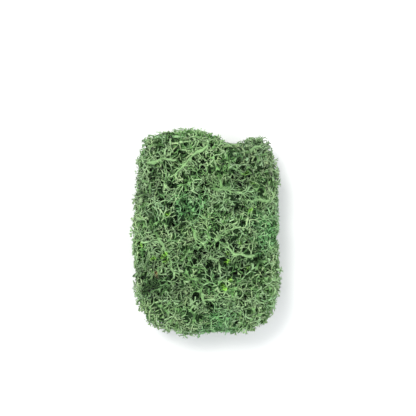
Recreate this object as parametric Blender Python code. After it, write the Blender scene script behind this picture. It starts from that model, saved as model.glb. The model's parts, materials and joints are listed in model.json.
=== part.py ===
"""Reindeer moss clump: tufts of preserved reindeer lichen, pressed side by side into one loose cushion.

The clump lies on its back, with its flatter side facing up. Each tuft is one solid: a knobbly core of old stems, forked branchlets that stand out of it, and cut stubs underneath. Some tufts also have
a long bare stem that lies across the top. Metres, +Z up, +Y towards the upper end of the clump, and the origin
is on the surface it rests on, under the middle of its box.
"""

import math
import random
from collections import namedtuple

import bmesh
import bpy
from mathutils import Matrix, Vector

MM = 0.001
TAU = math.tau
UP = Vector((0, 0, 1))
FIRST_SEED = 30

# The clump's form is a rounded block with a lobed edge. What would stick out of it is bent back in, softly.
BLOCK_HALF_WIDTH = 63 * MM
BLOCK_HALF_LENGTH = 87.5 * MM
BLOCK_HEIGHT = 56 * MM
BLOCK_SQUARENESS = 4.5
BLOCK_SOFTNESS = 0.12

# Lobes of the edge, seen from above: how many there are round it, how deep they dip, and where they start.
LOBES = ((5, 0.016, 0.9), (9, 0.014, 2.3), (14, 0.007, 4.0))

# One wide notch at the upper right, where no tuft reaches the edge.
NOTCH_ANGLE = math.radians(67)
NOTCH_WIDTH = math.radians(11)
NOTCH_DEPTH = 0.12

# Cores. A tuft's core is a knobbly lump, and flat planes halfway to its neighbours trim it.
CELL_GAP = 0.5 * MM
CELL_REACH = 40 * MM
CORE_RADIUS = 15.5 * MM
CORE_INSET = 9.5 * MM
CORE_FULLNESS = 0.7
CORE_EDGE = 0.98
KNOB_HEIGHT = 2.4 * MM
KNOB_UNEVENNESS = 0.5
SMOOTH_FOOT = 3 * MM
FLOOR_SPOT_DEPTH = 1.2 * MM
CUT_TOLERANCE = 0.0001 * MM

# Branchlets. Each has a trunk that forks in three, and each of its branches ends in three tips.
CROWN_SPACING = 12 * MM
SIDE_THINNING = 0.7
CROWN_REACH = 9 * MM
CROWN_MARGIN = 1.5 * MM
BRANCHLET_SINK = 3 * MM
TRUNK_LENGTH = 5.4 * MM
TRUNK_ROOT_RADIUS = 1.9 * MM
TRUNK_TIP_RADIUS = 1.6 * MM
BRANCH_LENGTH = 6 * MM
BRANCH_RADIUS = 1.3 * MM
TIP_LENGTH = 5.6 * MM
TIP_RADIUS = 0.4 * MM
BRANCH_SPREAD = (34, 52)
TIP_SPREAD = (30, 52)
LENGTH_SPREAD = (0.8, 1.2)
LIFT = 0.25
WANDER = 0.22
BARE_TIP_SHARE = 0.25
LOWEST_BRANCHLET = 0.25
ROOT_CANDIDATES = 420
GOLDEN_SHARE = (math.sqrt(5) - 1) / 2

# How a branchlet's point is bent clear of what is near it.
FLOOR_CLEARANCE = 0.8 * MM
DUCKING = 0.6
BENDING_ROUNDS = 8

# Long stems that lie across the top, and the room that other tufts leave round them.
STEM_HEIGHT = 52 * MM
STEM_ROOT_RADIUS = 1.7 * MM
STEM_ROOT_MARGIN = 2.55 * MM
STEM_END_RADIUS = 1.05 * MM
STEM_STEP = 7.5 * MM
STEM_RISE = 6 * MM
STEM_ARCH = 1.5 * MM
STEM_END_REACH = 5 * MM
STEM_ROOM = 5.8 * MM
STEM_FORK_SCALE = 0.75

# Three-tipped twigs along the long stems.
TWIG_ROOM = 4.2 * MM
TWIG_LENGTH = 2.4 * MM
TWIG_RADIUS = 0.8 * MM
TWIG_LEAN = 0.6
TWIG_RISE = (-0.2, 0.5)
TWIG_FORK_SCALE = 0.7

# Cut stem ends under the clump.
STUBS_PER_TUFT = 2
STUB_LENGTH = 4 * MM
STUB_SINK = 3 * MM
STUB_RADIUS = 1.3 * MM
STUB_TAPER = 0.8
STUB_SLOPE = math.radians(51.5)

Tuft = namedtuple("Tuft", "name x y top foot shade")

# name, place across and up the clump, height of the core's top, height of its foot, shade. In millimetres.
# A foot at 0 is a tuft that the clump rests on: its core is cut flat there.
TUFT_PLACES = (
    ("tuft_top_left", -37, 61, 39, 2, "mid"),
    ("tuft_top_fan", -13, 65, 40, 3, "bright"),
    ("tuft_bright_dome", 12, 56, 43, 1.5, "bright"),
    ("tuft_top_right_low", 36, 57, 34, 3, "deep"),
    ("tuft_upper_left_low", -40, 37, 35, 3, "deep"),
    ("tuft_upper_fan", -16, 42, 40, 0, "bright"),
    ("tuft_upper_right", 41, 31, 38, 0, "mid"),
    ("tuft_left_open", -40, 11, 38, 2.5, "mid"),
    ("tuft_soft_head", -14, 20, 38, 3, "blue"),
    ("tuft_upper_middle", 14, 29, 39, 3, "mid"),
    ("tuft_middle", 0, 0, 40, 0, "bright"),
    ("tuft_middle_right", 24, 4, 41, 3, "bright"),
    ("tuft_right_net", 45, 6, 39, 2, "blue"),
    ("tuft_middle_left", -22, -10, 38, 3, "mid"),
    ("tuft_left_net", -44, -15, 39, 2, "bright"),
    ("tuft_hollow", 14, -22, 34, 3, "deep"),
    ("tuft_right_horn", 40, -20, 38, 2, "mid"),
    ("tuft_lower_left_low", -37, -39, 34, 0, "deep"),
    ("tuft_lower_middle", -10, -37, 39, 2, "mid"),
    ("tuft_lower_dome", 18, -47, 42, 2, "bright"),
    ("tuft_lower_right", 42, -45, 38, 0, "mid"),
    ("tuft_foot_left", -37, -63, 38, 2, "mid"),
    ("tuft_foot_middle_left", -14, -63, 39, 0, "mid"),
    ("tuft_foot_middle_right", 11, -70, 38, 2.5, "blue"),
    ("tuft_foot_right", 35, -67, 38, 2, "mid"),
)

# Where each long stem starts and ends, and how far its middle bows to its left. In millimetres.
STEM_PLACES = (
    ((-50, 52), (-27, 57), 1.5),
    ((5, 71), (-23, 45), -2),
    ((54, 25), (36, 24), -1),
    ((29, 61), (42, 67), 1),
    ((-40, 0), (-25, -31), 1),
    ((4, 34), (27, 30), 1),
    ((3, -10), (22, 4), 1.5),
    ((-13, 5), (-3, -8), -3),
    ((42, -20), (17, -12), 3),
    ((-3, -18), (11, -27), 4),
    ((-50, -33), (-44, -17), 1),
    ((-8, -44), (3, -53), -3),
)

SHADE_COLOURS = {
    "bright": (0.17, 0.32, 0.11),
    "mid": (0.12, 0.24, 0.085),
    "blue": (0.09, 0.24, 0.10),
    "deep": (0.06, 0.13, 0.05),
}
MOSS_ROUGHNESS = 0.85


def clear_scene():
    for obj in list(bpy.data.objects):
        bpy.data.objects.remove(obj)


def read_tufts():
    """The tufts, in metres."""
    tufts = []
    for name, x, y, top, foot, shade in TUFT_PLACES:
        tufts.append(Tuft(name, x * MM, y * MM, top * MM, foot * MM, shade))
    return tufts


def softly_limited(share):
    """A share of the room, bent so that it nears 1 without passing it."""
    start = 1 - BLOCK_SOFTNESS
    over = share - start
    return start + BLOCK_SOFTNESS * math.tanh(over / BLOCK_SOFTNESS) if over > 0 else share


def edge_share(angle):
    """How far out the lobed and notched edge lies at an angle, as a share of the plain block."""
    dip = sum(depth * (1 + math.sin(count * angle + start)) for count, depth, start in LOBES)
    off_notch = math.remainder(angle - NOTCH_ANGLE, TAU) / NOTCH_WIDTH
    return 1 - dip - NOTCH_DEPTH * math.exp(-off_notch * off_notch)


def pressed(point, inset=0.0):
    """A point pressed back into the lobed block, or into one that is smaller all round."""
    across = point.x / (BLOCK_HALF_WIDTH - inset)
    along = point.y / (BLOCK_HALF_LENGTH - inset)
    plain = (abs(across) ** BLOCK_SQUARENESS + abs(along) ** BLOCK_SQUARENESS) ** (1 / BLOCK_SQUARENESS)
    edge = edge_share(math.atan2(along, across))
    out = plain / edge
    shrink = softly_limited(out) / out if out > 0 else 1
    height = BLOCK_HEIGHT - inset
    return Vector((point.x * shrink, point.y * shrink, softly_limited(point.z / height) * height))


def core_point(tuft, direction):
    """The point of a core's surface in a direction from its middle, fuller at its sides than an ellipsoid."""
    bottom = tuft.foot - (FLOOR_SPOT_DEPTH if tuft.foot == 0 else 0)
    middle = Vector((tuft.x, tuft.y, (tuft.top + bottom) / 2))
    rise = math.copysign(abs(direction.z) ** CORE_FULLNESS, direction.z)
    reach = Vector((CORE_RADIUS * direction.x, CORE_RADIUS * direction.y, (tuft.top - bottom) / 2 * rise))
    return pressed(middle + reach, CORE_INSET)


def core_height(tuft, x, y):
    """The height of a core's upper surface over a point of the floor."""
    across = min(CORE_EDGE, math.hypot(x - tuft.x, y - tuft.y) / CORE_RADIUS)
    return core_point(tuft, Vector((across, 0, math.sqrt(1 - across * across)))).z


def cell_planes(tuft, tufts):
    """(point, outward normal) of the upright plane halfway to each tuft that this one could touch."""
    planes = []
    for other in tufts:
        apart = Vector((other.x - tuft.x, other.y - tuft.y, 0))
        if 0 < apart.length < CELL_REACH:
            normal = apart.normalized()
            halfway = Vector((tuft.x, tuft.y, 0)) + normal * (apart.length / 2 - CELL_GAP / 2)
            planes.append((halfway, normal))
    return planes


def nearest_on_path(point, path):
    """The point of a line of straight runs that lies nearest to a point."""
    found = []
    for a, b in zip(path, path[1:]):
        share = (point - a).dot(b - a) / (b - a).length_squared
        found.append(a + (b - a) * max(0.0, min(1.0, share)))
    return min(found, key=lambda p: (p - point).length)


def kept_in_cell(point, radius, planes, paths):
    """A branchlet's point in the block, bent clear of the neighbours' cells, their long stems and the floor."""
    point = pressed(point)
    for _ in range(BENDING_ROUNDS):
        for path in paths:
            near = nearest_on_path(point, path)
            away = point - near
            if away.length < STEM_ROOM + radius:
                away = (away.normalized() - DUCKING * UP).normalized()
                point = near + away * (STEM_ROOM + radius)
        for plane_point, normal in planes:
            over = (point - plane_point).dot(normal) + radius
            if over > 0:
                point -= normal * over
        point.z = max(point.z, FLOOR_CLEARANCE + radius)
    return point


def kept_by_stem(point, path, room):
    """A side twig's point held close to the long stem that it grows from."""
    near = nearest_on_path(point, path)
    away = point - near
    return near + away.normalized() * min(away.length, room)


def place_ring(face, centre, heading, radius):
    """Sets a three-cornered face square to a heading, its corners evenly round a centre and not twisted."""
    side = heading.orthogonal().normalized()
    across = heading.cross(side)
    middle = face.calc_center_median()
    turns = Vector((0, 0))
    for k, corner in enumerate(face.verts):
        offset = corner.co - middle
        angle = math.atan2(offset.dot(across), offset.dot(side)) - k * TAU / 3
        turns += Vector((math.cos(angle), math.sin(angle)))
    first = math.atan2(turns.y, turns.x)
    for k, corner in enumerate(face.verts):
        angle = first + k * TAU / 3
        corner.co = centre + radius * (side * math.cos(angle) + across * math.sin(angle))


def draw_out(bm, face, centre, heading, radius):
    """Extrudes a tip face to a ring round a new centre and returns the new tip face."""
    tip = bmesh.ops.extrude_discrete_faces(bm, faces=[face])["faces"][0]
    place_ring(tip, centre, heading, radius)
    return tip


def draw_to_point(bm, face, point):
    """Extrudes a tip face and closes it in a point."""
    tip = bmesh.ops.extrude_discrete_faces(bm, faces=[face])["faces"][0]
    bmesh.ops.pointmerge(bm, verts=list(tip.verts), merge_co=point)


def fork(bm, face, heading, forks_left, keep, rng, scale=1.0):
    """Splits a tip face in three, as a lichen's whorls do, and grows a branch from each third."""
    centre = face.calc_center_median()
    for third in bmesh.ops.poke(bm, faces=[face])["faces"]:
        outward = third.calc_center_median() - centre
        outward = (outward - heading * outward.dot(heading)).normalized()
        spread = math.radians(rng.uniform(*(BRANCH_SPREAD if forks_left else TIP_SPREAD)))
        aim = heading * math.cos(spread) + outward * math.sin(spread)
        length = rng.uniform(*LENGTH_SPREAD) * (BRANCH_LENGTH if forks_left else TIP_LENGTH) * scale
        start = third.calc_center_median()
        bare = rng.random() < BARE_TIP_SHARE
        if forks_left and not bare:
            end = keep(start + aim * length, BRANCH_RADIUS)
            aim = (end - start).normalized()
            tip = draw_out(bm, third, end, aim, BRANCH_RADIUS * scale)
            fork(bm, tip, aim, forks_left - 1, keep, rng, scale)
        else:
            draw_to_point(bm, third, keep(start + aim * length, TIP_RADIUS))


def start_growth(start, end, start_radius, end_radius):
    """A three-sided tapered rod between two points. Returns its mesh, its tip face and its heading."""
    bm = bmesh.new()
    heading = (end - start).normalized()
    turned = heading.to_track_quat("Z", "Y").to_matrix().to_4x4()
    place = Matrix.Translation((start + end) / 2) @ turned
    bmesh.ops.create_cone(
        bm,
        cap_ends=True,
        segments=3,
        radius1=start_radius,
        radius2=end_radius,
        depth=(end - start).length,
        matrix=place,
    )
    tip = max(bm.faces, key=lambda f: f.calc_center_median().dot(heading))
    return bm, tip, heading


def object_from(bm, name):
    bmesh.ops.recalc_face_normals(bm, faces=bm.faces)
    mesh = bpy.data.meshes.new(name)
    bm.to_mesh(mesh)
    bm.free()
    return bpy.data.objects.new(name, mesh)


def make_core(tuft, planes, rng):
    """The dense lump in a tuft: knobbly above its foot, trimmed flat towards each neighbour and the floor."""
    bm = bmesh.new()
    turned = Matrix.Rotation(rng.uniform(0, TAU), 4, "Z")
    bmesh.ops.create_icosphere(bm, subdivisions=2, radius=1, matrix=turned)
    for corner in bm.verts:
        corner.co = core_point(tuft, corner.co.normalized())
    upper = [face for face in bm.faces if face.calc_center_median().z > tuft.foot + SMOOTH_FOOT]
    for knob in bmesh.ops.poke(bm, faces=upper)["verts"]:
        height = KNOB_HEIGHT * (1 + rng.uniform(-KNOB_UNEVENNESS, KNOB_UNEVENNESS))
        knob.normal_update()
        knob.co += knob.normal * height
    floor = [(Vector((0, 0, 0)), -UP)] if tuft.foot == 0 else []
    for plane_point, normal in planes + floor:
        whole = bm.verts[:] + bm.edges[:] + bm.faces[:]
        cut = bmesh.ops.bisect_plane(
            bm, geom=whole, dist=CUT_TOLERANCE, plane_co=plane_point, plane_no=normal, clear_outer=True
        )
        edges = [part for part in cut["geom_cut"] if isinstance(part, bmesh.types.BMEdge)]
        if edges:
            bmesh.ops.edgeloop_fill(bm, edges=edges)
    return object_from(bm, tuft.name)


def spiral_directions(count):
    """Directions spread evenly over a sphere along a golden-angle spiral, from the top down."""
    directions = []
    for k in range(count):
        z = 1 - 2 * (k + 0.5) / count
        angle = k * TAU * GOLDEN_SHARE
        flat = math.sqrt(1 - z * z)
        directions.append(Vector((flat * math.cos(angle), flat * math.sin(angle), z)))
    return directions


def branchlet_roots(tuft, planes, rng):
    """(point, heading) for each branchlet, with the crowns spread over what no neighbour covers of the core."""
    directions = spiral_directions(ROOT_CANDIDATES)
    rng.shuffle(directions)
    directions.sort(key=lambda d: round(-d.z, 1))
    chosen = []
    crowns = []
    for direction in directions:
        point = core_point(tuft, direction)
        wander = Vector([rng.uniform(-WANDER, WANDER) for _ in range(3)])
        heading = (direction + LIFT * UP + wander).normalized()
        crown = point + heading * CROWN_REACH
        rooted = all((point - at).dot(normal) < -TRUNK_ROOT_RADIUS for at, normal in planes)
        inside = all((crown - at).dot(normal) < -CROWN_MARGIN for at, normal in planes)
        spacing = CROWN_SPACING * (1 + SIDE_THINNING * (1 - max(direction.z, 0)))
        apart = all((crown - other).length > spacing for other in crowns)
        if rooted and inside and apart and point.z > LOWEST_BRANCHLET * tuft.top:
            chosen.append((point, heading))
            crowns.append(crown)
    return chosen


def make_branchlet(root, heading, keep, rng):
    """One forked branchlet that stands on a core."""
    length = BRANCHLET_SINK + TRUNK_LENGTH * rng.uniform(*LENGTH_SPREAD)
    start = keep(root - heading * BRANCHLET_SINK, TRUNK_ROOT_RADIUS)
    end = keep(start + heading * length, TRUNK_TIP_RADIUS)
    bm, tip, heading = start_growth(start, end, TRUNK_ROOT_RADIUS, TRUNK_TIP_RADIUS)
    fork(bm, tip, heading, 1, keep, rng)
    return object_from(bm, "branchlet")


def read_stem_paths(tufts):
    """(name of the tuft it grows from, path) for each long stem, in metres."""
    found = []
    for start, end, bow in STEM_PLACES:
        start = Vector((start[0] * MM, start[1] * MM, 0))
        end = Vector((end[0] * MM, end[1] * MM, 0))
        owner = min(tufts, key=lambda t: math.hypot(t.x - start.x, t.y - start.y))
        found.append((owner.name, stem_path(start, end, bow * MM, owner, tufts)))
    return found


def stem_path(start, end, bow, owner, tufts):
    """A long stem's line: out of its core, up, across the clump in a slight bow, and past its end."""
    along = (end - start).normalized()
    left = UP.cross(along)
    root = kept_in_cell(start, STEM_ROOT_MARGIN, cell_planes(owner, tufts), ())
    root.z = core_height(owner, root.x, root.y) - BRANCHLET_SINK
    first = start + along * STEM_RISE
    run = (end - first).length
    steps = max(2, round(run / STEM_STEP))
    points = [root]
    for k in range(steps + 1):
        share = k / steps
        hump = 4 * share * (1 - share)
        height = STEM_HEIGHT + STEM_ARCH * hump
        points.append(first + along * run * share + left * bow * hump + UP * height)
    points.append(points[-1] + (points[-1] - points[-2]).normalized() * STEM_END_REACH)
    return points


def make_stem(path, keep, rng):
    """A long bare stem along its path, which ends in a fork with tips."""
    bm, tip, heading = start_growth(path[0], path[1], STEM_ROOT_RADIUS, STEM_ROOT_RADIUS)
    drawn = path[1:-1]
    for k in range(1, len(drawn)):
        share = k / (len(drawn) - 1)
        radius = STEM_ROOT_RADIUS + (STEM_END_RADIUS - STEM_ROOT_RADIUS) * share
        heading = (drawn[k] - drawn[k - 1]).normalized()
        tip = draw_out(bm, tip, drawn[k], heading, radius)
    fork(bm, tip, heading, 1, keep, rng, scale=STEM_FORK_SCALE)
    return object_from(bm, "stem")


def make_twigs(path, keep, rng):
    """Short three-tipped twigs at the bends of a long stem, on its left and right in turn."""
    twigs = []
    for k in range(1, len(path) - 2):
        along = (path[k + 1] - path[k]).normalized()
        side = UP.cross(along) * (1 if k % 2 else -1)
        aim = (side + TWIG_LEAN * along + rng.uniform(*TWIG_RISE) * UP).normalized()
        bm, tip, heading = start_growth(path[k], path[k] + aim * TWIG_LENGTH, TWIG_RADIUS, TWIG_RADIUS)
        fork(bm, tip, heading, 0, keep, rng, scale=TWIG_FORK_SCALE)
        twigs.append(object_from(bm, "twig"))
    return twigs


def make_stubs(tuft, planes, rng):
    """Cut stem ends that stick out under a core, clear of the floor."""
    stubs = []
    first = rng.uniform(0, TAU)
    for k in range(STUBS_PER_TUFT):
        turn = first + k * TAU / STUBS_PER_TUFT
        flat = math.cos(STUB_SLOPE)
        down = Vector((flat * math.cos(turn), flat * math.sin(turn), -math.sin(STUB_SLOPE)))
        root = core_point(tuft, down) - down * STUB_SINK
        start = kept_in_cell(root, STUB_RADIUS, planes, ())
        end = kept_in_cell(root + down * (STUB_SINK + STUB_LENGTH), STUB_RADIUS, planes, ())
        bm, _, _ = start_growth(start, end, STUB_RADIUS, STUB_TAPER * STUB_RADIUS)
        stubs.append(object_from(bm, "stub"))
    return stubs


def shells_of(bm):
    """The faces of each separate closed shell of a mesh."""
    shells = []
    left = set(bm.faces)
    while left:
        shell = [left.pop()]
        for face in shell:
            for edge in face.edges:
                beside = left.intersection(edge.link_faces)
                left -= beside
                shell.extend(beside)
        shells.append(shell)
    return shells


def keep_outer_shell(mesh):
    """Fills every hollow that the union sealed and drops loose scraps: only the largest shell stays."""
    bm = bmesh.new()
    bm.from_mesh(mesh)
    shells = sorted(shells_of(bm), key=len)
    inner = [face for shell in shells[:-1] for face in shell]
    bmesh.ops.delete(bm, geom=inner, context="FACES")
    bm.to_mesh(mesh)
    bm.free()


def fuse(core, growths):
    """Joins a core and all that grows from it by one Boolean union, and removes what was joined."""
    group = bpy.data.collections.new(core.name + "_growths")
    bpy.context.scene.collection.children.link(group)
    for growth in growths:
        group.objects.link(growth)
    union = core.modifiers.new("fuse", "BOOLEAN")
    union.operation = "UNION"
    union.operand_type = "COLLECTION"
    union.collection = group
    union.solver = "MANIFOLD"
    bpy.context.view_layer.update()
    graph = bpy.context.evaluated_depsgraph_get()
    fused = bpy.data.meshes.new_from_object(core.evaluated_get(graph))
    core.modifiers.remove(union)
    keep_outer_shell(fused)
    core.data = fused
    fused.name = core.name
    for growth in growths:
        bpy.data.objects.remove(growth)
    bpy.data.collections.remove(group)


def make_material(shade):
    material = bpy.data.materials.new("moss_" + shade)
    material.use_nodes = True
    shader = material.node_tree.nodes["Principled BSDF"]
    shader.inputs["Base Color"].default_value = (*SHADE_COLOURS[shade], 1)
    shader.inputs["Roughness"].default_value = MOSS_ROUGHNESS
    shader.inputs["Metallic"].default_value = 0
    return material


def make_tuft(tuft, tufts, paths, seed, clump):
    """One tuft: its core, branchlets, stubs and the long stems that grow from it, fused into one solid."""
    rng = random.Random(seed)
    planes = cell_planes(tuft, tufts)
    own_paths = [path for owner, path in paths if owner == tuft.name]
    other_paths = [path for owner, path in paths if owner != tuft.name]

    def keep_here(point, radius):
        return kept_in_cell(point, radius, planes, other_paths)

    growths = []
    for root, heading in branchlet_roots(tuft, planes, rng):
        growths.append(make_branchlet(root, heading, keep_here, rng))
    growths += make_stubs(tuft, planes, rng)
    for path in own_paths:

        def keep_close(point, radius, path=path):
            return kept_by_stem(point, path[1:], TWIG_ROOM - radius)

        growths.append(make_stem(path, keep_close, rng))
        growths += make_twigs(path, keep_close, rng)
    core = make_core(tuft, planes, rng)
    clump.objects.link(core)
    fuse(core, growths)
    core.data.transform(Matrix.Translation((-tuft.x, -tuft.y, 0)))
    core.location = (tuft.x, tuft.y, 0)
    return core


def centre_on_origin(parts):
    """Moves the whole clump so that the middle of its box stands over the origin."""
    bpy.context.view_layer.update()
    corners = [part.matrix_world @ v.co for part in parts for v in part.data.vertices]
    middle_x = (min(c.x for c in corners) + max(c.x for c in corners)) / 2
    middle_y = (min(c.y for c in corners) + max(c.y for c in corners)) / 2
    for part in parts:
        part.location -= Vector((middle_x, middle_y, 0))


def main():
    clear_scene()
    clump = bpy.data.collections.new("reindeer_moss_clump")
    bpy.context.scene.collection.children.link(clump)
    tufts = read_tufts()
    paths = read_stem_paths(tufts)
    materials = {shade: make_material(shade) for shade in SHADE_COLOURS}
    parts = []
    for seed, tuft in enumerate(tufts, FIRST_SEED):
        part = make_tuft(tuft, tufts, paths, seed, clump)
        part.data.materials.clear()
        part.data.materials.append(materials[tuft.shade])
        parts.append(part)
    centre_on_origin(parts)


main()
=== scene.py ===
# %% [markdown]
# # A clump of reindeer moss
# Reindeer moss is a lichen. It has no leaves and no roots: it is all hollow stalks, about a millimetre
# thick, that fork again and again until they end in whorls of tiny points. This clump is 25 tufts of it,
# dyed green and pressed lightly together. The frame already holds each tuft as a solid, with its core, its
# thickest branches and the long stems on top. This lesson dresses every tuft: the solid gives it its form,
# and fine sprigs modelled once and planted some thousands of times give it its lace.

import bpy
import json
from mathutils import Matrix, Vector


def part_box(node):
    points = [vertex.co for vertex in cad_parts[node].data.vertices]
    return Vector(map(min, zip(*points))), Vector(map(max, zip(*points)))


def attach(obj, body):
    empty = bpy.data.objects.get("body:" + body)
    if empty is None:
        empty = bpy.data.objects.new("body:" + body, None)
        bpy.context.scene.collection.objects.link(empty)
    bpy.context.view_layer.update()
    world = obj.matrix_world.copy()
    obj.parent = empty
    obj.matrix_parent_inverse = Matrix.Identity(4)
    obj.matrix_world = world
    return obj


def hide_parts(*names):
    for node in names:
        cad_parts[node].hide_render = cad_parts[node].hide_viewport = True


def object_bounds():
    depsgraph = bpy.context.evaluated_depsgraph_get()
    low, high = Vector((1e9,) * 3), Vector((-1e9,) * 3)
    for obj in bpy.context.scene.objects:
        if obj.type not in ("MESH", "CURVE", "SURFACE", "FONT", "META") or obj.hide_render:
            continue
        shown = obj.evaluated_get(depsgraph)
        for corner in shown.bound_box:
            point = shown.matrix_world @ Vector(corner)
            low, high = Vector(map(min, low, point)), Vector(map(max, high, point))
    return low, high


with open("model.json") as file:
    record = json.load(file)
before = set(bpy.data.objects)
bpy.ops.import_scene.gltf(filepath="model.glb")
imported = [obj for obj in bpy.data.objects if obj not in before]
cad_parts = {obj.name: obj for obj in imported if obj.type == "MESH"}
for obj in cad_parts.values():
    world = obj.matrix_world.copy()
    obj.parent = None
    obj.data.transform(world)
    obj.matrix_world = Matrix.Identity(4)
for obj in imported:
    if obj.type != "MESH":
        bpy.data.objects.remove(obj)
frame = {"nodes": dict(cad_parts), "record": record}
cad_low, cad_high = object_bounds()
print("frame:", len(frame["nodes"]), "tufts,", [round(s * 1000, 1) for s in cad_high - cad_low], "mm")

# %% Tools and units
import json
import math
import random

import bmesh
import bpy
import numpy as np
from mathutils import Matrix, Vector
from mathutils.bvhtree import BVHTree

MM = 0.001
TAU = math.tau
UP = Vector((0, 0, 1))
NEARLY_ZERO = 1e-6


def in_mm(length):
    """A length in millimetres, rounded for printing."""
    return round(length / MM, 1)


def deselect_all():
    bpy.ops.object.select_all(action="DESELECT")


def shown_alone(obj):
    """Makes an object the only one selected, and the active one, as an operator expects."""
    deselect_all()
    obj.select_set(True)
    bpy.context.view_layer.objects.active = obj


# %% [markdown]
# ## Camera
# A product photograph looks square on. The clump lies on its back, so the camera hangs straight above it. A
# long lens keeps the sides from leaning outwards. The clump sits a little below the middle of the picture,
# and moving the camera up the clump does that with no lens shift.

# %% Hang the camera
PICTURE_WIDTH = 324.5 * MM
FOCUS_HEIGHT = 46 * MM
LENS = 100
SENSOR = 36
CAMERA_PLACE = (1.3 * MM, 19.5 * MM)

camera_height = FOCUS_HEIGHT + PICTURE_WIDTH * LENS / SENSOR
camera_data = bpy.data.cameras.new("camera")
camera_data.lens = LENS
camera_data.sensor_width = SENSOR
camera = bpy.data.objects.new("camera", camera_data)
camera.location = (*CAMERA_PLACE, camera_height)
bpy.context.scene.collection.objects.link(camera)
bpy.context.scene.camera = camera
print("camera", round(camera_height, 3), "m above the floor")

# %% [markdown]
# ## Floor and light
# A pale sweep lies under the clump. One broad lamp from the upper left shapes the domes, a weaker one from
# the right keeps the gaps readable, and a pale world fills in the rest. Moss looks flat under even light:
# its depth comes from the dark between the tips, so the main lamp stays fairly steep and not too large.

# %% Lay the floor and hang the lights
FLOOR_SIZE = 6
FLOOR_COLOUR = (0.86, 0.86, 0.85, 1)
FLOOR_ROUGHNESS = 0.9
WORLD_COLOUR = (0.93, 0.96, 1.0, 1)
WORLD_STRENGTH = 1.05
KEY_LIGHT = {"place": (-0.4, 0.5, 1.2), "size": 0.5, "power": 11.5}
FILL_LIGHT = {"place": (0.9, -0.4, 0.9), "size": 0.9, "power": 4}
LIGHT_COLOUR = (1.0, 0.985, 0.96)


def hang_lamp(name, place, size, power):
    """A square lamp that faces the middle of the clump."""
    data = bpy.data.lights.new(name, "AREA")
    data.shape = "SQUARE"
    data.size = size
    data.energy = power
    data.color = LIGHT_COLOUR
    lamp = bpy.data.objects.new(name, data)
    lamp.location = place
    lamp.rotation_euler = Vector(place).to_track_quat("Z", "Y").to_euler()
    bpy.context.scene.collection.objects.link(lamp)


deselect_all()
bpy.ops.mesh.primitive_plane_add(size=FLOOR_SIZE, location=(0, 0, 0))
floor = bpy.context.object
floor.name = "floor"
paper = bpy.data.materials.new("pale_paper")
paper.use_nodes = True
paper_shader = paper.node_tree.nodes["Principled BSDF"]
paper_shader.inputs["Base Color"].default_value = FLOOR_COLOUR
paper_shader.inputs["Roughness"].default_value = FLOOR_ROUGHNESS
floor.data.materials.append(paper)

hang_lamp("key", **KEY_LIGHT)
hang_lamp("fill", **FILL_LIGHT)
world = bpy.data.worlds.new("studio")
world.use_nodes = True
background = world.node_tree.nodes["Background"]
background.inputs["Color"].default_value = WORLD_COLOUR
background.inputs["Strength"].default_value = WORLD_STRENGTH
bpy.context.scene.world = world
bpy.context.scene.view_settings.view_transform = "Standard"
print("floor and", len(bpy.data.lights), "lamps are in place")

# %% [markdown]
# ## Growing a stalk by hand
# A stalk is drawn out of one small three-cornered face: extrude it along its heading, turn it square to the
# new heading, thin it. At a fork the end face is poked, which splits it in three, and each third grows on
# by itself. Three sides are enough for something a millimetre thick, and a template that is copied
# thousands of times has to make do with a few dozen faces. Poking leaves flat thirds, so a fresh branch is
# made rounder as it is drawn out. A face drawn out nearly sideways gives a flat ribbon, so an arm that
# leans far over gets there in steps. The last face simply stays, because a real tip is blunt: drawn to a
# point, the lace would turn to fluff.

# %% Edit-mode tools for a stalk
THIRD_ACROSS = 0.86
THIRD_OUTWARD = 2.3


def pick_face(place):
    """Selects the face whose middle is nearest to a place, as a click on it does. Returns its normal."""
    bpy.ops.mesh.select_all(action="DESELECT")
    mesh = bpy.context.object.data
    bm = bmesh.from_edit_mesh(mesh)
    bm.normal_update()
    face = min(bm.faces, key=lambda f: (f.calc_center_median() - place).length)
    face.select_set(True)
    bmesh.update_edit_mesh(mesh)
    return face.normal.copy()


def turn(normal, heading, centre):
    """Turns what is selected about its middle until its normal points along a heading."""
    axis = normal.cross(heading)
    if axis.length < NEARLY_ZERO:
        return
    grid = axis.normalized().to_track_quat("Z", "Y").to_matrix().transposed()
    bpy.ops.transform.rotate(
        value=normal.angle(heading),
        orient_axis="Z",
        orient_type="GLOBAL",
        orient_matrix=grid,
        orient_matrix_type="GLOBAL",
        constraint_axis=(False, False, True),
        center_override=centre,
    )


def scale_across(outward, heading, across, along_outward, centre):
    """Scales what is selected in the plane across a heading: one share outwards, another sideways."""
    side = heading.cross(outward).normalized()
    grid = Matrix((side, outward, heading))
    bpy.ops.transform.resize(
        value=(across, along_outward, 1),
        orient_type="GLOBAL",
        orient_matrix=grid,
        orient_matrix_type="GLOBAL",
        center_override=centre,
    )


def draw_out(start, heading, length, taper):
    """Extrudes a face along a heading, squares it to the heading and thins it. Returns its new place."""
    normal = pick_face(start)
    bpy.ops.mesh.extrude_region_move(TRANSFORM_OT_translate={"value": heading * length})
    end = start + heading * length
    turn(normal, heading, end)
    bpy.ops.transform.resize(value=(taper, taper, taper), center_override=end)
    return end


print("a stalk is grown with", draw_out.__name__, "and", scale_across.__name__)

# %% [markdown]
# ## Six habits of sprig
# Real clumps show a few habits again and again. A crown is short and bushy and makes the round cauliflower
# heads. A star sends three arms over its neighbours and a fan spreads to one side, forking in two again and
# again: together they make the net. An antler has fewer and longer arms, a runner is a leading stalk with
# short arms left and right in turn, and a side twig grows only from the long stems. All come from one rule:
# a fork gives two or three branches, and a plan says how long each is, how far it leans out and whether it
# forks again. A fork in two stays in the plane of the lace, as the stalks of a pressed clump do. Seeded
# draws keep two sprigs of one habit from being alike.

# %% Plans for the sprigs
SIDEWAYS = Vector((0, 1, 0))


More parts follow.
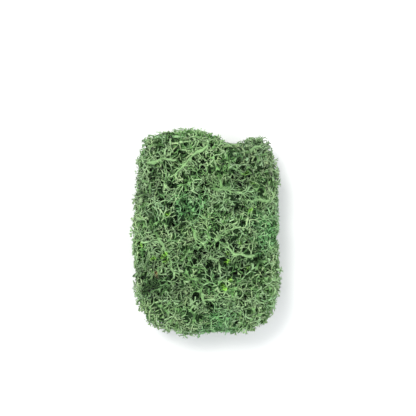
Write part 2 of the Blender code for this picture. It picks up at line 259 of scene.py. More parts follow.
def branches(length, *leans, bends=(), forking=0, width=1):
    """A level of forks: how long and wide its branches are, how they lean and bend, how many fork again."""
    return {"length": length, "leans": leans, "bends": bends, "forking": forking, "width": width}


# In millimetres and degrees. The lace faces one way, and a sprig with a lay bends over by it after its
# trunk. Each branch first leans out by an angle of its own, and then by so much more at each bend.
HABITS = {
    "crown": {
        "radius": 0.5,
        "trunk": 4,
        "lay": 0,
        "faces": UP,
        "levels": (
            branches(2.2, 50, 50, 50, forking=3),
            branches(1.7, 46, 46, 46, width=0.8),
        ),
        "count": 4,
    },
    "star": {
        "radius": 0.5,
        "trunk": 4,
        "lay": 0,
        "faces": UP,
        "levels": (
            branches(4.0, 44, 44, 44, bends=(36,), forking=3),
            branches(3.0, 34, 34, forking=1, width=0.98),
            branches(2.5, 34, 34, width=0.9),
        ),
        "count": 5,
    },
    "fan": {
        "radius": 0.5,
        "trunk": 4,
        "lay": 80,
        "faces": UP,
        "levels": (
            branches(3.1, 32, 32, forking=2),
            branches(3.0, 34, 34, forking=2, width=0.98),
            branches(2.5, 34, 34, width=0.9),
        ),
        "count": 5,
    },
    "antler": {
        "radius": 0.56,
        "trunk": 4,
        "lay": 0,
        "faces": UP,
        "levels": (
            branches(7.5, 42, 42, 42, bends=(30, 8), forking=3),
            branches(2.8, 34, 34, width=0.9),
        ),
        "count": 4,
    },
    "runner": {
        "radius": 0.56,
        "trunk": 4,
        "lay": 82,
        "faces": UP,
        "levels": (
            *(branches(3.4, 10, 54, forking=1, width=1.02),) * 4,
            branches(2.6, 30, 34, width=0.9),
        ),
        "count": 5,
    },
    "side_twig": {
        "radius": 0.66,
        "trunk": 3,
        "lay": 0,
        "faces": SIDEWAYS,
        "levels": (
            branches(3.4, 34, 34, bends=(8,), forking=2, width=0.95),
            branches(2.4, 36, 36, width=0.88),
        ),
        "count": 4,
    },
}

# %% Grow the sprigs
LENGTH_RANGE = (0.75, 1.3)
LEAN_RANGE = (0.8, 1.15)
FIRST_ARM = 1.5 * MM
ARM_WANDER = math.radians(40)
ARM_TAPER = 0.97
FORK_SWELL = 1.12
FORK_TILT = math.radians(12)
SEEDS_A_HABIT = 10


def outward_of(third, place, heading):
    """Which way a third lies from the middle of its fork, square to a heading."""
    away = third - place
    return (away - heading * away.dot(heading)).normalized()


def fork_sides(place, heading, thirds, plan, level, rng):
    """Which way each branch of a fork goes: all round for three, in the lace's plane for two."""
    if len(plan["levels"][level]["leans"]) == 3:
        return [outward_of(third, place, heading) for third in thirds]
    left = plan["faces"].cross(heading).normalized() * (1 if level % 2 else -1)
    left.rotate(Matrix.Rotation(rng.uniform(-FORK_TILT, FORK_TILT), 3, heading))
    return [left, -left]


def grow_arm(start, heading, outward, growth, rng):
    """A branch from one third of a fork, which leans out more at each bend. Returns its end and heading."""
    axis = heading.cross(outward)
    axis.rotate(Matrix.Rotation(rng.uniform(-ARM_WANDER, ARM_WANDER), 3, heading))
    step = growth["length"] * MM * rng.uniform(*LENGTH_RANGE) / (1 + len(growth["bends"]))
    end = draw_out(start, heading, step, 1)
    scale_across(outward, heading, THIRD_ACROSS * growth["width"], THIRD_OUTWARD * growth["width"], end)
    for bend in growth["bends"]:
        heading = (Matrix.Rotation(math.radians(bend), 3, axis) @ heading).normalized()
        end = draw_out(end, heading, step, ARM_TAPER)
    return end, heading


def grow_fork(place, heading, plan, level, rng):
    """Splits the end face at a place in three and grows branches from the thirds as the plan's level says."""
    pick_face(place)
    bpy.ops.transform.resize(value=(FORK_SWELL, FORK_SWELL, FORK_SWELL), center_override=place)
    bpy.ops.mesh.poke()
    bm = bmesh.from_edit_mesh(bpy.context.object.data)
    thirds = [face.calc_center_median() for face in bm.faces if face.select]
    growth = plan["levels"][level]
    sides = fork_sides(place, heading, thirds, plan, level, rng)
    for k, (side, lean) in enumerate(zip(sides, growth["leans"])):
        nearest = max(range(len(thirds)), key=lambda m: (thirds[m] - place).dot(side))
        third = thirds.pop(nearest)
        angle = math.radians(lean) * rng.uniform(*LEAN_RANGE)
        aim = heading * math.cos(angle) + side * math.sin(angle)
        end, new_heading = grow_arm(third, aim, outward_of(third, place, aim), growth, rng)
        if k < growth["forking"]:
            grow_fork(end, new_heading, plan, level + 1, rng)


def grow_sprig(name, plan, seed):
    """One sprig with its cut end at the origin, growing up. If it lies over, it does so towards +X."""
    rng = random.Random(seed)
    deselect_all()
    radius = plan["radius"] * MM
    bpy.ops.mesh.primitive_circle_add(vertices=3, radius=radius, fill_type="NGON", location=(0, 0, 0))
    sprig = bpy.context.object
    sprig.name = name
    bpy.ops.object.mode_set(mode="EDIT")
    bpy.ops.mesh.select_mode(type="FACE")
    heading = UP
    end = draw_out(Vector((0, 0, 0)), heading, plan["trunk"] * MM, ARM_TAPER)
    if plan["lay"]:
        for lay in (math.radians(plan["lay"]) / 2, math.radians(plan["lay"])):
            heading = Vector((math.sin(lay), 0, math.cos(lay)))
            end = draw_out(end, heading, FIRST_ARM, ARM_TAPER)
    grow_fork(end, heading, plan, 0, rng)
    bpy.ops.mesh.select_all(action="SELECT")
    bpy.ops.mesh.normals_make_consistent(inside=False)
    bpy.ops.object.mode_set(mode="OBJECT")
    sprig.hide_render = True
    return sprig


sprigs = {}
for row, (habit, plan) in enumerate(HABITS.items()):
    first_seed = SEEDS_A_HABIT * row
    sprigs[habit] = [grow_sprig(f"{habit}_{k}", plan, first_seed + k) for k in range(plan["count"])]
    for sprig in sprigs[habit]:
        print(sprig.name, len(sprig.data.polygons), "faces,", [in_mm(s) for s in sprig.dimensions], "mm")

# %% [markdown]
# ## Reading the tufts
# Where a sprig may stand is asked of the solids themselves. A search tree over all their faces answers fast
# how far it is from here to the next surface along a line. The share of open sky that a point sees tells
# which faces are hidden inside the clump and need no sprig.

# %% Build the search tree
SKY_RAYS = 28
SKY_DISTANCE = 60 * MM
SKY_EDGE = 0.1
RAY_START = 0.3 * MM


def spiral_directions(count):
    """Directions spread evenly over a sphere along a golden-angle spiral."""
    found = []
    for k in range(count):
        z = 1 - 2 * (k + 0.5) / count
        angle = k * TAU * (math.sqrt(5) - 1) / 2
        flat = math.sqrt(1 - z * z)
        found.append(Vector((flat * math.cos(angle), flat * math.sin(angle), z)))
    return found


def read_triangles(obj):
    """An object's corners and three-cornered faces as arrays."""
    mesh = obj.data
    mesh.calc_loop_triangles()
    corners = np.empty(len(mesh.vertices) * 3, np.float32)
    mesh.vertices.foreach_get("co", corners)
    faces = np.empty(len(mesh.loop_triangles) * 3, np.int32)
    mesh.loop_triangles.foreach_get("vertices", faces)
    return corners.reshape(-1, 3).astype(float), faces.reshape(-1, 3)


tree_corners = []
tree_faces = []
owner_of_face = []
for name, node in frame["nodes"].items():
    points, triangles = read_triangles(node)
    tree_faces.extend((triangles + len(tree_corners)).tolist())
    tree_corners.extend(points.tolist())
    owner_of_face.extend([name] * len(triangles))
tree = BVHTree.FromPolygons(tree_corners, tree_faces, all_triangles=True)
sky = spiral_directions(SKY_RAYS)


def open_sky(point, normal):
    """The share of the directions in front of a surface along which nothing is in the way."""
    start = point + normal * RAY_START
    ahead = [direction for direction in sky if direction.dot(normal) > SKY_EDGE]
    return sum(tree.ray_cast(start, direction, SKY_DISTANCE)[0] is None for direction in ahead) / len(ahead)


print("the search tree holds", len(tree_faces), "faces")

# %% [markdown]
# ## The long stems
# A dozen bare stems lie across the top, paler than the rest, and they lead the eye in the real clump. They
# belong to the solids already. Their lines are needed here again, to colour them, to keep the lace off them
# and to grow side twigs from them.

# %% Lines of the long stems
CLUMP_PLACE = Vector((0, 0.7 * MM, 0))
STEM_HEIGHT = 52 * MM
STEM_ARCH = 1.5 * MM
STEM_RISE = 6 * MM
STEM_DOT_SPACING = 0.8 * MM

# Where each stem starts and ends, and how far its middle bows to its left. In millimetres.
STEM_LINES = (
    ((-50, 52), (-27, 57), 1.5),
    ((5, 71), (-23, 45), -2),
    ((54, 25), (36, 24), -1),
    ((29, 61), (42, 67), 1),
    ((-40, 0), (-25, -31), 1),
    ((4, 34), (27, 30), 1),
    ((3, -10), (22, 4), 1.5),
    ((-13, 5), (-3, -8), -3),
    ((42, -20), (17, -12), 3),
    ((-3, -18), (11, -27), 4),
    ((-50, -33), (-44, -17), 1),
    ((-8, -44), (3, -53), -3),
)


def stem_dots(start, end, bow):
    """Points close together along one stem's line, from where it lies level to its end."""
    start = Vector((*start, 0)) * MM + CLUMP_PLACE
    end = Vector((*end, 0)) * MM + CLUMP_PLACE
    along = (end - start).normalized()
    first = start + along * STEM_RISE
    run = (end - first).length
    count = int(run / STEM_DOT_SPACING)
    found = []
    for k in range(count + 1):
        share = k / count
        hump = 4 * share * (1 - share)
        height = STEM_HEIGHT + STEM_ARCH * hump
        found.append(first + along * run * share + UP.cross(along) * bow * MM * hump + UP * height)
    return found


stems = [stem_dots(*line) for line in STEM_LINES]
dots = np.array([dot for stem in stems for dot in stem])
stem_owners = [owner_of_face[tree.find_nearest(stem[len(stem) // 2])[2]] for stem in stems]
print(len(stems), "stems,", len(dots), "dots along them; they grow from", sorted(set(stem_owners)))


def nearest_dot(points):
    """For each point, which dot of the stems is nearest to it as seen from above, and how far off it is."""
    apart = np.linalg.norm(points[:, None, :2] - dots[None, :, :2], axis=2)
    nearest = apart.argmin(axis=1)
    return nearest, apart[np.arange(len(points)), nearest]


# %% [markdown]
# ## Places that are chosen one by one
# The heads don't close up everywhere. Between some of them the clump opens into dark hollows, and these do
# as much for its look as the stems. On top, little is planted in a hollow, and what is there is drawn down.
# A few spots took the dye more strongly and are a bright lime green, and at two or three a withered bit of
# bark colour shows. All are lists of places seen from above. Long waves shift the places a little, so that
# no hollow comes out round.

# %% Hollows and coloured spots
HOLLOW_DEPTH = 6 * MM
HOLLOW_STEEPNESS = 1.5
HOLLOW_FLOOR = 26 * MM
HOLLOW_RANGE = 14 * MM
SPOT_STEEPNESS = 3.5
WAVE_HEIGHT = 1.4 * MM
WAVE_LENGTH = 13 * MM

# The middle and the radius of each, in millimetres.
HOLLOWS = (
    (-14, 15, 6.5),
    (-19, 5, 4),
    (-19, 24, 4),
    (11, -27, 6),
    (4, -22, 3.5),
    (-46, -42, 8),
    (1, -56, 5),
    (-49, 31, 6.5),
    (-40, 46, 7),
    (-29, 38, 4),
    (-21, 60, 6.5),
    (51, 38, 6),
    (26, 59, 7),
    (40, 71, 5),
    (41, -20, 5),
    (49, -28, 3.5),
    (27, 9, 3.5),
    (-2, 27, 3),
    (-7, -20, 4),
    (-37, 72, 4),
)
LIME_SPOTS = (
    (26.4, -7.6, 2),
    (15.5, -14.3, 1.6),
    (17.7, -21.1, 2),
    (31, -26.8, 2),
    (35.2, 16.9, 1.6),
    (19.8, -36.4, 1.4),
    (-33.8, -17.2, 2.6),
    (-30.7, -22.6, 2.4),
    (13, -42.1, 2.4),
    (-29.6, 13.6, 2),
    (-49.9, -8.8, 1.8),
    (-41.3, -20.6, 2.2),
    (30.3, 47.3, 1.8),
    (35.7, 38.2, 1.6),
)
BARK_SPOTS = (
    (-40.2, -31.4, 1.9),
    (-38.6, -34.4, 1.9),
    (14.5, 77.5, 1.6),
)


def spot_share(points, spots, steepness):
    """How far inside the nearest spot each point is, from 0 at its rim to 1 near its middle."""
    middles = np.array([(x, y) for x, y, _ in spots]) * MM
    radii = np.array([radius for _, _, radius in spots]) * MM
    seen = points[:, :2] + WAVE_HEIGHT * np.sin(points[:, 1::-1] * TAU / WAVE_LENGTH)
    apart = np.linalg.norm(seen[:, None] - middles, axis=2) / radii
    share = np.clip(steepness * (1 - apart.min(axis=1)), 0, 1)
    return share * share * (3 - 2 * share)


def hollow_share(points):
    """How far in a hollow each point is, fading out towards the middle of the clump's height."""
    height = np.clip((points[:, 2] - HOLLOW_FLOOR) / HOLLOW_RANGE, 0, 1)
    return spot_share(points, HOLLOWS, HOLLOW_STEEPNESS) * height


print(len(HOLLOWS), "hollows and", len(LIME_SPOTS), "lime spots")

# %% [markdown]
# ## The skin of the clump
# What a stalk looks like depends most on how deep it lies: the outermost lace is pale, and a few
# millimetres under it the light is gone. So the clump's skin is measured, and the shade under it is painted
# into the colour by depth. Rays from above, from below and from the four sides find the outermost stalk at
# each place, the highest value near each place is spread over its neighbours, and smoothing turns that
# into one cover over all the tips. The long stems lie on top of the skin, so they are left out of it.

# %% Measure the skin
SKIN_STEP = 2 * MM
SKIN_STEM_GAP = 3.5 * MM
RAY_HOME = 1
LIT_DEPTH = 2 * MM
LIGHT_FADE = 3.5 * MM
HOLLOW_GLOW = 0.45

# How often the peaks are spread and smoothed along each axis: the branches stand wider apart on the sides.
SKIN_ROUNDS = (4, 4, 2)


def plane_of(axis):
    """The two axes across one axis."""
    return [k for k in range(3) if k != axis]


def seen_from(axis, sign, first, second):
    """Where a ray from outside along an axis first meets a tuft, which tuft it is, and the way back out."""
    way = Vector((0, 0, 0))
    way[axis] = sign
    start = way * RAY_HOME
    across, along = plane_of(axis)
    start[across] = first
    start[along] = second
    place, _, face, _ = tree.ray_cast(start, -way)
    return place, None if place is None else owner_of_face[face], way


def neighbours(grid):
    """Nine copies of a grid: each cell's neighbours and the cell itself."""
    padded = np.pad(grid, 1, mode="edge")
    rows, columns = grid.shape
    return np.array([padded[i : i + rows, j : j + columns] for i in range(3) for j in range(3)])


def outermost(axis, sign):
    """How far out the tufts reach along one axis, at every place of a grid on the plane across it."""
    across, along = plane_of(axis)
    counts = [math.ceil((cad_high[k] - cad_low[k]) / SKIN_STEP) for k in (across, along)]
    grid = np.full(counts, np.nan)
    for i, j in np.ndindex(*counts):
        first = cad_low[across] + (i + 0.5) * SKIN_STEP
        second = cad_low[along] + (j + 0.5) * SKIN_STEP
        place, _, way = seen_from(axis, sign, first, second)
        if place is None or (way == UP and nearest_dot(np.array([place]))[1][0] < SKIN_STEM_GAP):
            continue
        grid[i, j] = place[axis] * sign
    return grid


def cover(grid, rounds):
    """A grid with its empty cells filled from beside them, its peaks spread and the whole smoothed."""
    while np.isnan(grid).any():
        grid = np.where(np.isnan(grid), np.fmax.reduce(neighbours(grid)), grid)
    for _ in range(rounds):
        grid = neighbours(grid).max(axis=0)
    for _ in range(rounds):
        grid = neighbours(grid).mean(axis=0)
    return grid


skins = {}
for axis, rounds in enumerate(SKIN_ROUNDS):
    for sign in (1, -1):
        skins[axis, sign] = cover(outermost(axis, sign), rounds)
print("the skin is", in_mm(skins[2, 1].min()), "to", in_mm(skins[2, 1].max()), "mm high")


def skin_over(points, axis, sign):
    """How far out the skin is over each point, read between the four nearest places of its grid."""
    grid = skins[axis, sign]
    plane = plane_of(axis)
    spots = (points[:, plane] - np.array(cad_low)[plane]) / SKIN_STEP - 0.5
    corner = np.clip(np.floor(spots), 0, np.array(grid.shape) - 2).astype(int)
    i, j = corner.T
    s, t = np.clip(spots - corner, 0, 1).T
    near = grid[i, j] * (1 - s) + grid[i + 1, j] * s
    far = grid[i, j + 1] * (1 - s) + grid[i + 1, j + 1] * s
    return near * (1 - t) + far * t


# The colour takes this as painted shade: darker with the depth under the skin, a little less so in the
# hollows.
def light_at(points):
    """How much light reaches each point: 1 in the skin, and fading with the depth under its nearest side."""
    depths = np.min([skin_over(points, axis, sign) - sign * points[:, axis] for axis, sign in skins], axis=0)
    depths -= HOLLOW_GLOW * HOLLOW_DEPTH * hollow_share(points)
    return np.exp(-np.maximum(depths - LIT_DEPTH, 0) / LIGHT_FADE)


# %% [markdown]
# The solids' stems arch over the clump at one height. The real ones have sunk in until they lie on the
# lace, so each point of a stem is lowered to the skin under it. How far is kept for each dot along the
# stems.

# %% Seat the stems
STEM_SEAT = 0.7 * MM

seats = np.minimum(dots[:, 2], skin_over(dots, 2, 1) + STEM_SEAT)
lowered = dots[:, 2] - seats
for dot, seat in zip((dot for stem in stems for dot in stem), seats):
    dot.z = seat
print("the stems sink in by", in_mm(lowered.mean()), "mm, at most", in_mm(lowered.max()), "mm")


# %% [markdown]
# ## Pressed together
# The clump has been pressed into a block with a lobed edge and one wide notch, which bent everything that
# stuck out back in. The same rule holds for the sprigs. A point that would pass the block's side or the
# floor is drawn back softly, and one that would stand over the skin lies down against it. Lying down is
# what turns upright sprigs into lace seen from above. At the sides and the underside a sprig is first moved
# in as a whole, because squeezed point by point its arms would come out as thin as paper. Not all lie in
# one sheet: each sprig has its own level, up to a few millimetres further in, or the clump would look
# trimmed like a hedge. Where a long stem lies on top, only the highest sprigs pass over it.

# %% Press what sticks out
BLOCK_HALF_WIDTH = 63.2 * MM
BLOCK_HALF_LENGTH = 87.6 * MM
BLOCK_SQUARENESS = 4.5
SHOULDER = 0.1
SHOULDER_SQUARENESS = 4
SIDE_SOFTNESS = 0.06
TOP_SOFTNESS = 0.05
FLOOR_SOFTNESS = 0.03
BOX_MARGIN = 0.12 * MM
STEM_CLEARANCE = 1.3 * MM
STEM_VALLEY = 6 * MM
VALLEY_SLOPE = 0.4
STEM_COVER = 0.9 * MM

# How many lobes there are round the edge, how deep they dip, and where they start. Then the notch.
LOBES = ((5, 0.016, 0.9), (9, 0.014, 2.3), (14, 0.007, 4.0))
NOTCH_ANGLE = math.radians(67)
NOTCH_WIDTH = math.radians(11)
NOTCH_DEPTH = 0.12

box_low = np.array(cad_low) + BOX_MARGIN
box_high = np.array(cad_high) - BOX_MARGIN


def softly_limited(share, softness):
    """Shares of the room, bent so that they near 1 without passing it."""
    over = np.maximum(share - (1 - softness), 0)
    return np.where(over > 0, 1 - softness + softness * np.tanh(over / softness), share)


def edge_share(angle):
    """How far out the lobed and notched edge lies at each angle, as a share of the plain block."""
    dip = sum(depth * (1 + np.sin(count * angle + start)) for count, depth, start in LOBES)
    off_notch = (np.remainder(angle - NOTCH_ANGLE + math.pi, TAU) - math.pi) / NOTCH_WIDTH
    return 1 - dip - NOTCH_DEPTH * np.exp(-off_notch * off_notch)


def pressed_in(points, level):
    """Points drawn back into the block's side, or as far inside it as their level says."""
    result = points - np.array(CLUMP_PLACE)
    across = result[:, 0] / BLOCK_HALF_WIDTH
    along = result[:, 1] / BLOCK_HALF_LENGTH
    plain = (np.abs(across) ** BLOCK_SQUARENESS + np.abs(along) ** BLOCK_SQUARENESS) ** (1 / BLOCK_SQUARENESS)
    height = np.abs(2 * points[:, 2] / cad_high.z - 1)
    shoulder = 1 - SHOULDER * height**SHOULDER_SQUARENESS
    reach = edge_share(np.arctan2(along, across)) * shoulder * (1 - level / BLOCK_HALF_WIDTH)
    out = np.maximum(plain / reach, NEARLY_ZERO)
    result[:, :2] *= (softly_limited(out, SIDE_SOFTNESS) / out)[:, None]
    return result + np.array(CLUMP_PLACE)


def lifted_up(points, level):
    """Points lifted off the floor, or as far above it as their level says."""
    result = points.copy()
    room = box_high[2] - box_low[2] - level
    result[:, 2] = box_high[2] - softly_limited((box_high[2] - points[:, 2]) / room, FLOOR_SOFTNESS) * room
    return result


def pressed_round(points, level):
    """Points drawn in at the sides and at the underside."""
    return lifted_up(pressed_in(points, level), level)


def moved_whole(points, member, level):
    """Whole sprigs, each moved in as far as pressing moves the one of its points that it moves most."""
    shift = pressed_round(points, level) - points
    order = np.lexsort((np.linalg.norm(shift, axis=1), member))
    most = order[np.flatnonzero(np.diff(member[order], append=-1))]
    return points + shift[most][member]


def pressed_down(points, level):
    """Points laid down against the skin, or as far under it as their level says."""
    result = points.copy()
    ceiling = skin_over(points, 2, 1) - level - HOLLOW_DEPTH * hollow_share(points)
    result[:, 2] = softly_limited(points[:, 2] / ceiling, TOP_SOFTNESS) * ceiling
    return result


def under_the_stems(points, level):
    """Points near a long stem, lowered into a valley under it. Only the highest sprigs pass over it."""
    k, sideways = nearest_dot(points)
    slope = np.maximum(sideways - STEM_CLEARANCE, 0) * VALLEY_SLOPE
    in_valley = (sideways < STEM_VALLEY) & (level > STEM_COVER)
    valley = np.where(in_valley, seats[k] - STEM_CLEARANCE + slope, np.inf)
    result = points.copy()
    result[:, 2] = np.minimum(points[:, 2], valley)
    return result


# %% [markdown]
# ## The tufts' own stalks
# Each solid is copied, its loose triangles are merged, and one level of Subdivision Surface rounds its
# blocky branches. That also draws them in to about two thirds of their thickness, which is nearer to a real
# stalk. Deep inside it is only a mass painted dark as shade, which keeps the floor from showing through. The
# tips that it had before it was rounded are noted first: a tip is a sharp corner whose edges all run back
# the same way.

# %% Copy and round a tuft
MERGE_DISTANCE = 0.001 * MM
TIP_SHARPNESS = 0.86
TIP_EDGES = (3, 4)


def find_tips(obj):
    """(place, heading) of every sharp branch tip of a merged mesh."""
    bm = bmesh.new()
    bm.from_mesh(obj.data)
    tips = []
    for corner in bm.verts:
        back = Vector((0, 0, 0))
        for edge in corner.link_edges:
            back += (edge.other_vert(corner).co - corner.co).normalized()
        edges = len(corner.link_edges)
        if edges in TIP_EDGES and back.length / edges > TIP_SHARPNESS:
            tips.append((corner.co.copy(), -back.normalized()))
    bm.free()
    return tips


def rounded_copy(node):
    """A merged and rounded copy of a tuft's solid, and the tips that it had before it was rounded."""
    deselect_all()
    copy = node.copy()
    copy.data = node.data.copy()
    copy.parent = None
    copy.hide_render = False
    for key in list(copy.keys()):
        del copy[key]
    copy.name = "moss_" + node.name.removeprefix("tuft_")
    bpy.context.scene.collection.objects.link(copy)
    shown_alone(copy)
    bpy.ops.object.mode_set(mode="EDIT")
    bpy.ops.mesh.select_all(action="SELECT")
    bpy.ops.mesh.remove_doubles(threshold=MERGE_DISTANCE)
    bpy.ops.object.mode_set(mode="OBJECT")
    tips = find_tips(copy)
    smooth = copy.modifiers.new("round", "SUBSURF")
    smooth.levels = 1
    smooth.render_levels = 1
    bpy.ops.object.modifier_apply(modifier=smooth.name)
    return copy, tips


# %% [markdown]
# The rounded solid is finished in four ways. The long stems on it get knobs and slight bends and are
# lowered to where they lie, and what carried them is cut down to match. The rest is drawn in, far at the
# sides and from below and a little from above, so that the lace covers it. What lies in a hollow is drawn
# down. And each corner is given its paleness and painted shade, which the material turns into colour later:
# bare stems are pale, with painted light on their tops and painted shade under them, and the stalks under
# the lace are painted darker the deeper they lie under the skin.

# %% Finish a tuft's own stalks
STEM_CORE = 1.8 * MM
STEM_SIDE = 4.4 * MM
STEM_UNDERSIDE = 2.4 * MM
STEM_CARRIER = 7 * MM
STEM_FULLNESS = 1.05
KNOB_HEIGHT = 0.18
KNOB_SPACING = 4.7 * MM
BEND_WIDTH = 0.7 * MM
BEND_LENGTH = 12 * MM
STEM_PALENESS = 0.7
STEM_SHADING = 0.2
# Painted shade: the tufts' own stalks stay darker than the lace even where they are lit.
BODY_SHADED_PALENESS = 0.6
TOP_INSET = 1.5 * MM
SIDE_INSET = 6.5 * MM
UNDER_INSET = 7 * MM


def finer_stems(tuft):
    """Splits the faces of a tuft's long stems, so that they can take knobs and bends."""
    shown_alone(tuft)
    bpy.ops.object.mode_set(mode="EDIT")
    bpy.ops.mesh.select_mode(type="FACE")
    bpy.ops.mesh.select_all(action="DESELECT")
    bm = bmesh.from_edit_mesh(tuft.data)
    middles = np.array([face.calc_center_median() for face in bm.faces])
    k, sideways = nearest_dot(middles)
    on_stem = (sideways < STEM_SIDE) & (middles[:, 2] > dots[k, 2] - STEM_UNDERSIDE)
    for face, chosen in zip(bm.faces, on_stem):
        face.select_set(bool(chosen))
    bmesh.update_edit_mesh(tuft.data)
    if on_stem.any():
        bpy.ops.mesh.subdivide(number_cuts=1)
    bpy.ops.object.mode_set(mode="OBJECT")


def finish_body(body):
    """The body's corners with knobbly stems, drawn-in sides and sunken hollows, and the paleness and painted
    shade of each.
    """
    k, sideways = nearest_dot(body)
    rise = body[:, 2] - dots[k, 2]
    on_stem = (sideways < STEM_SIDE) & (rise > -STEM_UNDERSIDE)
    core = on_stem & (sideways < STEM_CORE)
    knobs = KNOB_HEIGHT * np.sin(body[core, :2] * TAU / KNOB_SPACING).sum(axis=1)
    body[core] = dots[k[core]] + (body[core] - dots[k[core]]) * (STEM_FULLNESS * (1 + knobs))[:, None]
    bends = BEND_WIDTH * np.sin(body[on_stem, 1::-1] * TAU / BEND_LENGTH)
    body[on_stem, :2] += bends
    body[on_stem, 2] -= lowered[k[on_stem]]
    height = body[~on_stem, 2] / cad_high.z
    body[~on_stem, 2] += UNDER_INSET * (1 - height) - TOP_INSET * height
    body[~on_stem, 2] -= HOLLOW_DEPTH * hollow_share(body[~on_stem])
    carrier = ~on_stem & (sideways < STEM_CARRIER)
    body[carrier, 2] = np.minimum(body[carrier, 2], seats[k[carrier]] - STEM_CLEARANCE)
    body = pressed_in(body, np.where(on_stem, 0, SIDE_INSET))
    # Painted light on the stems' tops and painted shade under them. The body is painted darker with depth.
    shading = STEM_SHADING * np.clip(rise / STEM_CORE, -1, 1)
    paleness_and_shade = np.where(on_stem, STEM_PALENESS + shading, BODY_SHADED_PALENESS * light_at(body))
    return np.clip(body, box_low, box_high), paleness_and_shade


# %% [markdown]
# ## Where the sprigs stand
# Seen from outside, the lace is even, so most roots are found by rays from outside: a loose grid of them
# from each of the six sides. Where a ray meets this tuft, a sprig grows, rooted deep enough for its arms to
# spread just under the skin. A ray that goes deep finds one of the gaps between the tufts, and the gap
# stays open. Then come roots further in, at the branch tips of the solid and over its faces, wherever none
# stands near and some sky is seen. They stand closer round the clump's edge, where only the lace hides the
# solid's core. Elsewhere too many sprigs are as bad as too few: past two or three layers the lace closes up
# into fluff.

# %% Choose the roots
LACE_SPACING = {
    (2, 1): 4.3 * MM,
    (2, -1): 4.4 * MM,
    (0, 1): 4 * MM,
    (0, -1): 4 * MM,
    (1, 1): 4 * MM,
    (1, -1): 4 * MM,
}
LACE_DEPTH = 12 * MM
SPRIG_RISE = 5.8 * MM
LEVEL_SPREAD = 4.5 * MM
ROOT_TRIES = 2500
INNER_SPACING = 6.4 * MM
SIDE_SPACING = 3.8 * MM
SIDE_REACH = 20 * MM
LEAST_SKY = 0.25
SIDE_SKY = 0.1
HOLLOW_THINNING = 0.85
TIP_SINK = 3 * MM
FACE_SINK = 1 * MM
OUTWARD_PULL = 0.2
CHANCE_PULL = 0.16
HEART_HEIGHT = 0.3
SIDE_SLOPE = 0.5
SIDE_MIX = {"crown": 0.5, "star": 0.3, "fan": 0.15, "antler": 0.05}


def any_habit(mix, rng):
    """One habit, drawn by its share in a mix."""
    shares = np.array(list(mix.values()))
    return list(mix)[rng.choice(len(mix), p=shares / shares.sum())]


def on_side(place, direction):
    """Whether a place near the clump's edge faces sideways or down, where only the lace hides the core."""
    room = min(cad_high.x - abs(place[0]), cad_high.y - abs(place[1]))
    return direction.z < SIDE_SLOPE and room < SIDE_REACH


def lace_roots(name, closeness, rng):
    """(place, way out, sink, level) wherever a ray from outside meets a tuft not far under the skin."""
    low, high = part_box(name)
    for (axis, sign), spacing in LACE_SPACING.items():
        step = spacing * closeness
        across, along = plane_of(axis)
        counts = [math.ceil((high[k] - low[k]) / step) for k in (across, along)]
        for i, j in np.ndindex(*counts):
            first = low[across] + (i + rng.random()) * step
            second = low[along] + (j + rng.random()) * step
            place, owner, way = seen_from(axis, sign, first, second)
            if owner != name:
                continue
            depth = skin_over(np.array([place]), axis, sign)[0] - sign * place[axis]
            level = LEVEL_SPREAD * rng.random()
            if depth < LACE_DEPTH:
                yield place, way, max(SPRIG_RISE + level - depth, FACE_SINK), level


def choose_roots(node, tips, mix, closeness, rng):
    """(habit, place, heading, flow, level) for each sprig: first the outer lace, then those further in."""
    low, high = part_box(node.name)
    heart = Vector(((low.x + high.x) / 2, (low.y + high.y) / 2, low.z + (high.z - low.z) * HEART_HEIGHT))
    outer = list(lace_roots(node.name, closeness, rng))
    roots = []
    taken = np.empty((len(outer) + len(tips) + ROOT_TRIES, 3))

    def add_root(place, direction, sink, level):
        """A root under a place, seldom in a hollow on top. It leans outward from the tuft's heart."""
        thinning = 0 if on_side(place, direction) else HOLLOW_THINNING
        if thinning * hollow_share(np.array([place]))[0] < rng.random():
            chance = Vector(rng.normal(size=3)).normalized()
            outward = (place - heart).normalized()
            heading = (direction + OUTWARD_PULL * outward + CHANCE_PULL * chance).normalized()
            habit = any_habit(mix if heading.z > SIDE_SLOPE else SIDE_MIX, rng)
            taken[len(roots)] = place
            roots.append((habit, place - direction * sink, heading, outward, level))

    def add_inner_root(place, direction, sink):
        """A root further in, if none stands near and the place sees some sky."""
        apart = ((taken[: len(roots)] - np.array(place)) ** 2).sum(axis=1)
        sideways = on_side(place, direction)
        spacing = SIDE_SPACING if sideways else INNER_SPACING
        least_sky = SIDE_SKY if sideways else LEAST_SKY
        stands_free = apart.min(initial=np.inf) > (spacing * closeness) ** 2
        if stands_free and open_sky(place, direction) > least_sky:
            add_root(place, direction, sink, LEVEL_SPREAD * rng.random())

    for place, way, sink, level in outer:
        add_root(place, way, sink, level)
    for place, heading in tips:
        add_inner_root(place, heading, TIP_SINK)
    corners, faces = read_triangles(node)
    a, b, c = (corners[faces[:, k]] for k in range(3))
    normals = np.cross(b - a, c - a)
    areas = np.linalg.norm(normals, axis=1)
    for pick in rng.choice(len(faces), ROOT_TRIES, p=areas / areas.sum()):
        u, v = rng.random(2)
        if u + v > 1:
            u, v = 1 - u, 1 - v
        place = a[pick] + u * (b[pick] - a[pick]) + v * (c[pick] - a[pick])
        add_inner_root(Vector(place), Vector(normals[pick]).normalized(), FACE_SINK)
    return roots


# %% [markdown]
# The long stems carry side twigs, on the left and on the right in turn, and one goes on from the stem's
# end. Each leans forward along its stem and a little up, and spreads level on the lace.

# %% Roots of the side twigs
TWIG_EVERY = 5
TWIG_SLANT = 1.0
TWIG_SLANT_RANGE = (0.6, 1.6)
TWIG_LIFT = 0.1


